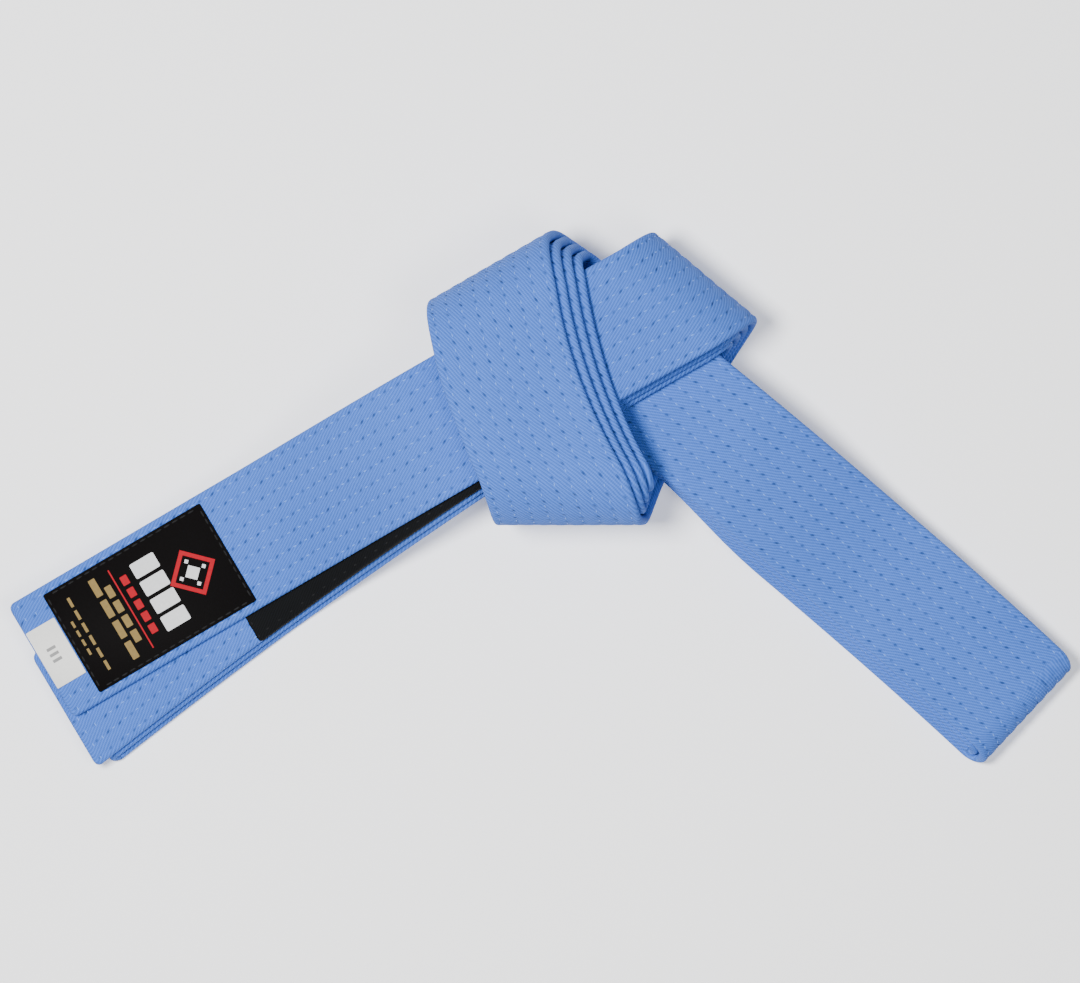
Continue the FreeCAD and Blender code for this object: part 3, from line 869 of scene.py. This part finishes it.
def bend(pieces, arm, distance):
    """Bakes the pieces' placement into their meshes; the points either side of the hinge are found but not
    used.
    """
    inner, outer = arm.spot(distance - BEND_REACH), arm.spot(distance + BEND_REACH)
    inner[2] = outer[2] = arm.spot(distance)[2]
    for piece in pieces:
        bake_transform(piece)


def make_knot():
    """The four passes inside the knot, which hold still; gives their cloth lengths at the right arm."""
    names = {1: "knot_label_pass", 2: "knot_rank_pass", 3: "knot_bight_pass", 4: "knot_inner_pass"}
    ends = {}
    for number, name in names.items():
        path = Path(knot_run(number, FINE if number == 1 else MEDIUM), -SPLIT_LEFT)
        piece = ribbon(f"{name}_strap", path, TWILL)
        dress(path)
        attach(piece, "knot")
        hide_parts(f"{name}_cover", f"{name}_core")
        ends[number] = path.length[-1]
        if number == 1:
            thread = sew("knot_stitches", row_places(path, 1))
            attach(thread, "knot")
            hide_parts("knot_arm_quilting", "front_wrap_quilting")
    return ends


def make_label_pass():
    """The label pass on the left arm: two short bends and the free end."""
    first = ending_at(left_run(1, FIRST_JOIN, SPLIT_LEFT, FINE), -SPLIT_LEFT)
    second = ending_at(left_run(1, SECOND_JOIN, FIRST_JOIN, FINE), first.length[0])
    free = ending_at(free_run(1, LEFT_LENGTH, SECOND_JOIN), second.length[0])
    parts = (
        ("label_pass_root", first, "knot", "left_bight", ARM_HINGE, "label_pass_first"),
        ("label_pass_bend", second, "left_bight", "rank_end", RANK_HINGE, "label_pass_second"),
        ("label_end_strap", free, "rank_end", "label_end", LABEL_HINGE, "label_end"),
    )
    for name, path, inner_body, outer_body, hinge, node in parts:
        ends_here = path is free
        piece = ribbon(name, path, TWILL, free_tip=ends_here)
        dress(path)
        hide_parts(f"{node}_cover", f"{node}_core")
        thread = sew(f"{name}_stitches", label_pass_places(path, ends_here))
        if ends_here:
            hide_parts("label_end_quilting", "label_end_stitching")
        bend([piece, thread], LEFT_ARM, hinge)


def label_pass_places(path, ends_here):
    """Stitches of the label pass; under the label only its underside shows them."""
    tip = path.length[0]
    low = tip + (ROWS_FROM_END if ends_here else 0)
    past_label = tip + LABEL_FROM_END + LABEL_SIZE[0] + 0.8
    places = []
    for row in ROWS:
        covered = ends_here and abs(row) < 4
        places += row_places(path, 1, past_label if covered else low, rows=(row,))
    places += row_places(path, -1, low)
    if ends_here:
        places += end_places(left_run(1, SECOND_JOIN, LEFT_LENGTH, FINE))
    return places


def make_rank_pass():
    """The rank pass on the left arm, with its black sleeve."""
    first = ending_at(left_run(2, FIRST_JOIN, SPLIT_LEFT, FINE), -SPLIT_LEFT)
    free = ending_at(free_run(2, RANK_LENGTH, FIRST_JOIN), first.length[0])
    root = ribbon("rank_pass_root", first, TWILL)
    end = ribbon("rank_end_strap", free, TWILL, free_tip=True)
    dress(first)
    dress(free)
    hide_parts("rank_pass_first_cover", "rank_pass_first_core")
    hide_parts("rank_end_cover", "rank_end_core")
    low = free.length[0] + ROWS_FROM_END
    high = free.length[0] + RANK_LENGTH - SLEEVE[1] - 1
    places = row_places(free, 1, low, high) + row_places(free, -1, low, high)
    places += end_places(left_run(2, FIRST_JOIN, RANK_LENGTH, FINE))
    thread = sew("rank_end_stitches", places)
    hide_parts("rank_end_quilting", "rank_end_stitching")
    bend([root], LEFT_ARM, ARM_HINGE)
    bend([end, thread], LEFT_ARM, RANK_HINGE)


def make_sleeve():
    """The black sleeve round the rank pass, with a seam along each edge and at its outer end."""
    inner = ending_at(left_run(2, FIRST_JOIN, SLEEVE[0], FINE), -SLEEVE[0])
    outer = ending_at(left_run(2, SLEEVE[1], FIRST_JOIN, FINE), inner.length[0])
    for path in (inner, outer):
        path.thick[:] = THICK
    root = ribbon("rank_sleeve_root", inner, SLEEVE_CLOTH, grow=0.06, quilted=0.16)
    sleeve = ribbon("rank_sleeve_cloth", outer, SLEEVE_CLOTH, free_tip=True, grow=0.06, quilted=0.16)
    dress(inner)
    dress(outer)
    end_seam = Path(left_run(2, FIRST_JOIN, SLEEVE[1], FINE))
    end_seam.thick[:] = THICK + 0.3
    places = []
    for side in (1, -1):
        places += cross_places(end_seam, side, 2.0)
        places += row_places(outer, side, outer.length[0] + 3, rows=(-4, 4), inset=0.1)
    thread = sew("rank_sleeve_stitches", places, BLACK_THREAD)
    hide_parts("rank_sleeve_in_knot", "rank_sleeve_first")
    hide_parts("rank_sleeve")
    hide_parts("rank_sleeve_stitching")
    bend([root], LEFT_ARM, ARM_HINGE)
    bend([sleeve, thread], LEFT_ARM, RANK_HINGE)


def make_bight():
    """Passes 4 and 3, joined at the fold in the belt's middle."""
    # The fold ends 3 mm short of the label end.
    reach = LEFT_LENGTH - 3.0 - PITCH / 2 - THICK / 2
    outward = faced_out(left_run(4, SPLIT_LEFT, reach, FINE))
    path = Path(loop(outward, left_run(3, reach, SPLIT_LEFT, FINE), 0.5))
    piece = ribbon("left_bight_strap", path, TWILL)
    dress(path)
    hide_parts("left_bight_cover", "left_bight_core")
    thread = sew("left_bight_stitches", row_places(path, 1))
    bend([piece, thread], LEFT_ARM, ARM_HINGE)


def make_right_arm(starts):
    """Two nested loops: pass 1 into pass 4 outside, pass 2 into pass 3 inside."""
    for name, first, last, step in (("right_outer_loop", 1, 4, FINE), ("right_inner_loop", 2, 3, COARSE)):
        outward = right_run(first, SPLIT_RIGHT, RIGHT_LENGTH, step)
        homeward = faced_out(right_run(last, RIGHT_LENGTH, SPLIT_RIGHT, step))
        path = Path(loop(outward, homeward, 0.6), starts[first])
        piece = ribbon(f"{name}_strap", path, TWILL)
        dress(path)
        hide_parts(f"{name}_cover", f"{name}_core")
        pieces = [piece]
        if first == 1:
            thread = sew("right_tail_stitches", row_places(path, 1))
            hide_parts("right_tail_quilting")
            pieces.append(thread)
        bend(pieces, RIGHT_ARM, TAIL_HINGE)


# ---------------------------------------- label and tag
class Patch:
    """The flat top of the label end: x runs towards the knot, y to the label's left."""

    def __init__(self, from_end):
        spot = LEFT_ARM.spot(LEFT_LENGTH - from_end)
        self.origin = np.array([spot[0], spot[1], TOP])
        self.x = plan(LEFT_HEADING)
        self.y = plan(LEFT_HEADING + 90)

    def place(self, x, y, z):
        return self.origin + self.x * x + self.y * y + UP * z


def rounded_outline(length, width, radius, steps=5):
    corners = ((1, 1, 0), (-1, 1, 90), (-1, -1, 180), (1, -1, 270))
    outline = []
    for sx, sy, start in corners:
        for i in range(steps + 1):
            turn = math.radians(start + 90 * i / steps)
            x = sx * (length / 2 - radius) + radius * math.cos(turn)
            y = sy * (width / 2 - radius) + radius * math.sin(turn)
            outline.append((x, y))
    return outline


def slab(name, patch, outline, bottom, top, material, bevel):
    """A thin flat piece with a softened upper edge."""
    vertices = []
    for height, shrink in ((bottom, 0.0), (top - bevel, 0.0), (top, bevel)):
        for x, y in outline:
            pull = 1 - shrink / math.hypot(x, y)
            vertices.append(patch.place(x * pull, y * pull, height))
    count = len(outline)
    faces = [tuple(reversed(range(count))), tuple(range(2 * count, 3 * count))]
    for base in (0, count):
        for j in range(count):
            k = (j + 1) % count
            faces.append((base + j, base + k, base + count + k, base + count + j))
    return make_mesh(name, vertices, faces, material, smooth=False)


def marks(name, patch, shapes, height, material):
    """Flat woven marks; a shape is (centre x, centre y, outline)."""
    vertices = []
    faces = []
    for x, y, outline in shapes:
        count = len(outline)
        low = len(vertices)
        high = low + count
        for level in (height - 0.04, height + 0.05):
            vertices += [patch.place(x + dx, y + dy, level) for dx, dy in outline]
        faces.append(tuple(range(high, high + count)))
        for j in range(count):
            k = (j + 1) % count
            faces.append((low + j, low + k, high + k, high + j))
    return make_mesh(name, vertices, faces, material, smooth=False)


def lozenge(reach):
    return [(reach, 0), (0, reach), (-reach, 0), (0, -reach)]


def bar(length, width):
    return rounded_outline(length, width, min(length, width) * 0.09, 2)


def column(x, ys, length, width):
    """Bars of one size at the same x."""
    return [(x, y, bar(length, width)) for y in ys]


def evenly(count, step):
    """Places either side of zero."""
    return [(i - (count - 1) / 2) * step for i in range(count)]


def lozenge_frame(x, outer, inner):
    """The four sides of a lozenge outline."""
    outside = lozenge(outer)
    inside = lozenge(inner)
    sides = []
    for i in range(4):
        k = (i + 1) % 4
        sides.append((x, 0.0, [outside[i], outside[k], inside[k], inside[i]]))
    return sides


def label_marks():
    """The label's generic woven marks, by piece name."""
    emblem_x = 17.3
    petals = [(emblem_x + dx, dy, lozenge(0.9)) for dx, dy in lozenge(4.4)]
    blocks = column(4.2, evenly(4, 7.0), 9.4, 5.6)
    blocks += [(emblem_x, 0, lozenge(3.0))] + petals
    reds = [(-7.6, 0.0, bar(0.5, 31.0))] + lozenge_frame(emblem_x, 9.0, 6.9)
    reds += column(-4.3, evenly(5, 4.8), 2.6, 3.4)
    golds = column(-10.7, (-8.8, -2.9, 2.9, 8.8), 2.5, 4.4)
    golds += column(-14.4, (-12.4, -4.1, 4.1, 12.4), 2.5, 6.6)
    small = column(-24.4, evenly(6, 5.0), 1.1, 3.6) + column(-27.4, evenly(4, 3.6), 0.9, 2.4)
    return (
        ("label_blocks", blocks, LABEL_GREY),
        ("label_red_bars", reds, LABEL_RED),
        ("label_gold_bars", golds, LABEL_GOLD),
        ("label_small_bars", small, LABEL_GOLD),
    )


def make_label():
    patch = Patch(LABEL_FROM_END + LABEL_SIZE[0] / 2)
    outline = rounded_outline(*LABEL_SIZE, 0.7)
    label = slab("woven_label_cloth", patch, outline, 0.02, LABEL_TOP, LABEL_CLOTH, 0.2)
    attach(label, "label_end")
    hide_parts("woven_label")
    for name, shapes, material in label_marks():
        piece = marks(name, patch, shapes, LABEL_TOP, material)
        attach(piece, "label_end")
    make_label_stitches(patch)


def make_label_stitches(patch):
    """Black thread round the label, just inside its edge."""
    generator = np.random.default_rng(3)
    long_half = LABEL_SIZE[0] / 2 - LABEL_SEAM
    wide_half = LABEL_SIZE[1] / 2 - LABEL_SEAM
    places = []
    for reach, fixed, crossing in ((long_half, wide_half, False), (wide_half, long_half, True)):
        count = int(2 * reach / LABEL_STITCH_PITCH)
        for sign in (-1, 1):
            for place in evenly(count, LABEL_STITCH_PITCH):
                run = place + generator.normal(0, 0.08)
                x, y = (sign * fixed, run) if crossing else (run, sign * fixed)
                ahead = patch.y if crossing else patch.x
                places.append((patch.place(x, y, LABEL_TOP + 0.04), ahead, UP))
    thread = dashes("woven_label_stitches", places, BLACK_THREAD, length=2.3, width=0.5, height=0.36)
    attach(thread, "label_end")
    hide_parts("woven_label_stitching")


def make_tag():
    patch = Patch(TAG_FROM_END + TAG_SIZE[0] / 2)
    tag = slab("size_tag_cloth", patch, rounded_outline(*TAG_SIZE, 0.4), 0.3, TAG_TOP, TAG_CLOTH, 0.08)
    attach(tag, "size_tag")
    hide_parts("size_tag")
    piece = marks("size_tag_bars", patch, column(-0.6, evenly(3, 2.2), 3.4, 1.1), TAG_TOP, TAG_PRINT)
    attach(piece, "size_tag")


# ---------------------------------------- studio
def make_floor():
    shade = Shade("floor", (0.86, 0.86, 0.87), 0.85)
    shade.colour(shade.blend(shade.noise(3, 2), (0.92, 0.92, 0.93), (0.94, 0.94, 0.95)))
    shade.shader.inputs["Emission Color"].default_value = (1.0, 1.0, 1.0, 1)
    shade.shader.inputs["Emission Strength"].default_value = 0.35
    vertices = [(x, y, -0.4) for x, y in ((-3000, -3000), (3000, -3000), (3000, 3000), (-3000, 3000))]
    floor = make_mesh("floor", vertices, [(0, 1, 2, 3)], shade.material)


def area_light(name, place, aim, size, power):
    light = bpy.data.lights.new(name, "AREA")
    light.shape = "DISK"
    light.size = size
    light.energy = power
    lamp = bpy.data.objects.new(name, light)
    bpy.context.scene.collection.objects.link(lamp)
    lamp.location = place
    lamp.rotation_euler = (Vector(aim) - Vector(place)).to_track_quat("-Z", "Y").to_euler()


def make_studio():
    make_floor()
    world = bpy.data.worlds.new("studio")
    bpy.context.scene.world = world
    world.use_nodes = True
    background = world.node_tree.nodes["Background"]
    background.inputs["Color"].default_value = (0.95, 0.97, 1.0, 1)
    background.inputs["Strength"].default_value = 0.15
    middle = (-0.03, -0.03, 0)
    area_light("key", (-0.36, 0.02, 1.2), middle, 0.3, 28)
    area_light("fill", (0.28, -0.25, 1.4), middle, 0.5, 8)


def make_camera():
    """Straight above the belt, far enough back to look almost parallel."""
    data = bpy.data.cameras.new("camera")
    data.sensor_width = 36.0
    distance = 2.6
    frame_width = 0.3726
    data.lens = 36.0 * distance / frame_width
    data.clip_end = 20
    camera = bpy.data.objects.new("camera", data)
    bpy.context.scene.collection.objects.link(camera)
    camera.location = (-0.03725, -0.0367, distance + 0.02)
    camera.rotation_euler = (0, 0, 0)
    bpy.context.scene.camera = camera


make_camera()
make_studio()
starts = make_knot()
make_label_pass()
make_rank_pass()
make_sleeve()
make_bight()
make_right_arm(starts)
make_label()
make_tag()
